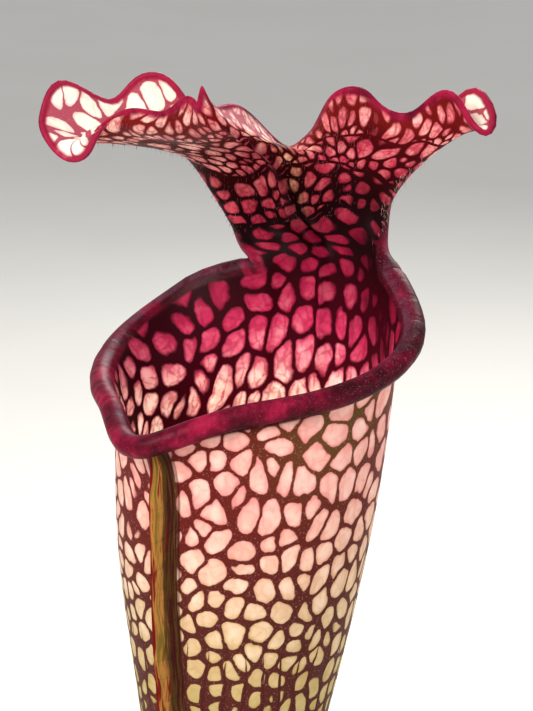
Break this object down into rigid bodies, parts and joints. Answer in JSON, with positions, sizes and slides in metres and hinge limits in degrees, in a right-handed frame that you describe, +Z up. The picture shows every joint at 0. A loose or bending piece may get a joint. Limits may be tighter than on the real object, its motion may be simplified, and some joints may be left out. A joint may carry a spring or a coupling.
{
  "type": "potted pitcher plant",
  "caption": "Pitcher plant in a plain tapered plastic pot: a tall trumpet leaf with a rolled lip and ruffled lid, and smaller leaves round its foot.",
  "frame": {"origin": "centre of the pot's underside, on the surface that it stands on", "axes": "+Z up along the pot's axis; the viewer of the picture looks along +Y; the tall pitcher's spout points towards -X and -Y"},
  "size_m": [0.13, 0.13, 0.3809],
  "materials": {
    "pot_plastic": "plain moulded, slightly satin",
    "peat": "loose fibrous peat with bark and grit",
    "rhizome_bark": "matt, scaly",
    "pitcher_leaf": "waxy leaf, dark crimson veins over pink and cream, olive green low down",
    "green_leaf": "waxy leaf, green with red veins"
  },
  "bodies": {
    "root": {"pot": "pot_plastic", "potting_mix": "peat", "rhizome": "rhizome_bark", "tall_pitcher": "pitcher_leaf", "short_pitcher": "pitcher_leaf", "young_pitcher": "green_leaf", "sword_leaf_1": "green_leaf", "sword_leaf_2": "green_leaf", "sword_leaf_3": "green_leaf"}
  },
  "joints": []
}
